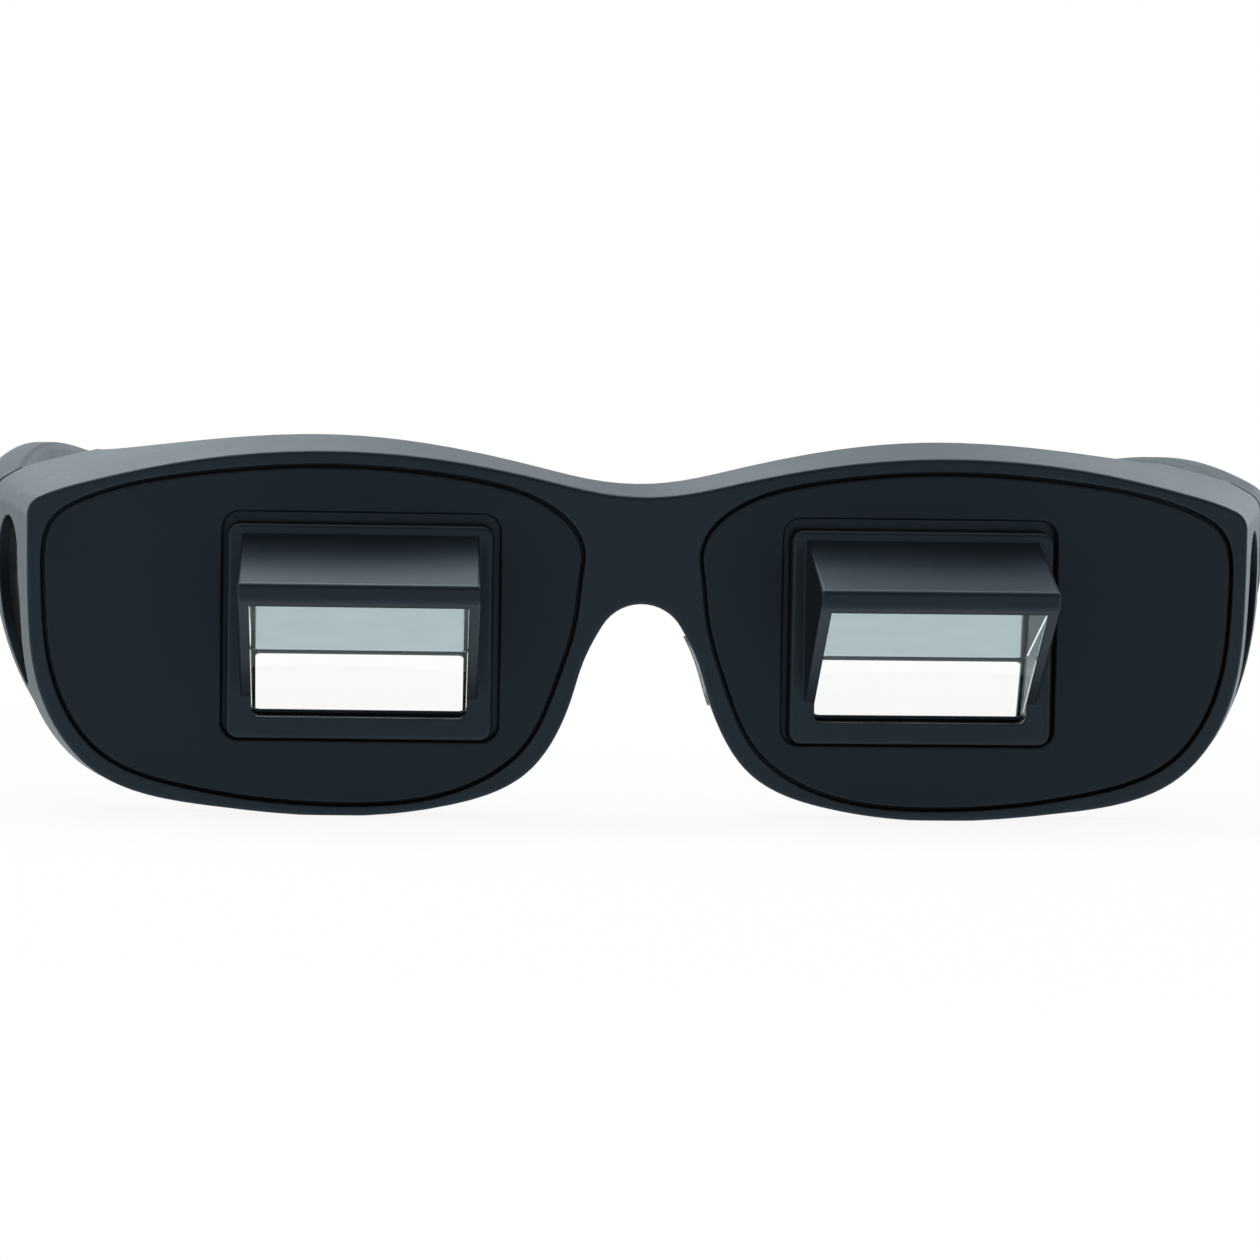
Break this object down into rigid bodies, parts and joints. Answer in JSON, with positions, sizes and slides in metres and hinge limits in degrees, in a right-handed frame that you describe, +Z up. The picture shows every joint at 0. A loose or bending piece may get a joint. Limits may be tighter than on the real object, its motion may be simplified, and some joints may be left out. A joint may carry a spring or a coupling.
{
  "type": "prism bed glasses",
  "caption": "Wrap-shaped glasses with blank eye panels, a wedge prism in a hooded housing before each eye for looking down while lying flat, drop-shaped side windows and folding temples.",
  "frame": {"origin": "middle of the overall box, on the flat plane that the rims and the ends of the temples rest on", "axes": "+X towards the left ear of the wearer, which is the right of the front view, +Y from the front towards the ears, +Z up"},
  "size_m": [0.1528, 0.1724, 0.0431],
  "materials": {
    "frame": "satin black moulding",
    "panel": "satin black plate",
    "housing": "satin black moulding",
    "prism_glass": "polished, with ground side faces",
    "silvering": "silvered",
    "retainer": "matte black",
    "side_window": "smoke-tinted, polished",
    "nose_pad": "clear, soft",
    "hinge": "stamped steel",
    "screw": "turned steel"
  },
  "bodies": {
    "front": {"front_frame": "frame", "left_eye_panel": "panel", "left_prism_housing": "housing", "left_prism": "prism_glass", "left_prism_silvering": "silvering", "left_prism_retainer": "retainer", "left_side_window": "side_window", "left_nose_pad": "nose_pad", "left_front_hinge_leaf": "hinge", "left_front_leaf_screws": "screw", "left_hinge_screw": "screw", "right_eye_panel": "panel", "right_prism_housing": "housing", "right_prism": "prism_glass", "right_prism_silvering": "silvering", "right_prism_retainer": "retainer", "right_side_window": "side_window", "right_nose_pad": "nose_pad", "right_front_hinge_leaf": "hinge", "right_front_leaf_screws": "screw", "right_hinge_screw": "screw"},
    "left_arm": {"left_temple": "frame", "left_temple_hinge_leaf": "hinge", "left_temple_leaf_screws": "screw"},
    "right_arm": {"right_temple": "frame", "right_temple_hinge_leaf": "hinge", "right_temple_leaf_screws": "screw"}
  },
  "joints": [
    {"name": "left_temple_fold", "type": "hinge", "parent": "front", "child": "left_arm", "pos_m": [0.0712, -0.04777, 0.03152], "axis": [0, 0, 1], "range_deg": [0, 90]},
    {"name": "right_temple_fold", "type": "hinge", "parent": "front", "child": "right_arm", "pos_m": [-0.0712, -0.04777, 0.03152], "axis": [0, 0, -1], "range_deg": [0, 82]}
  ]
}
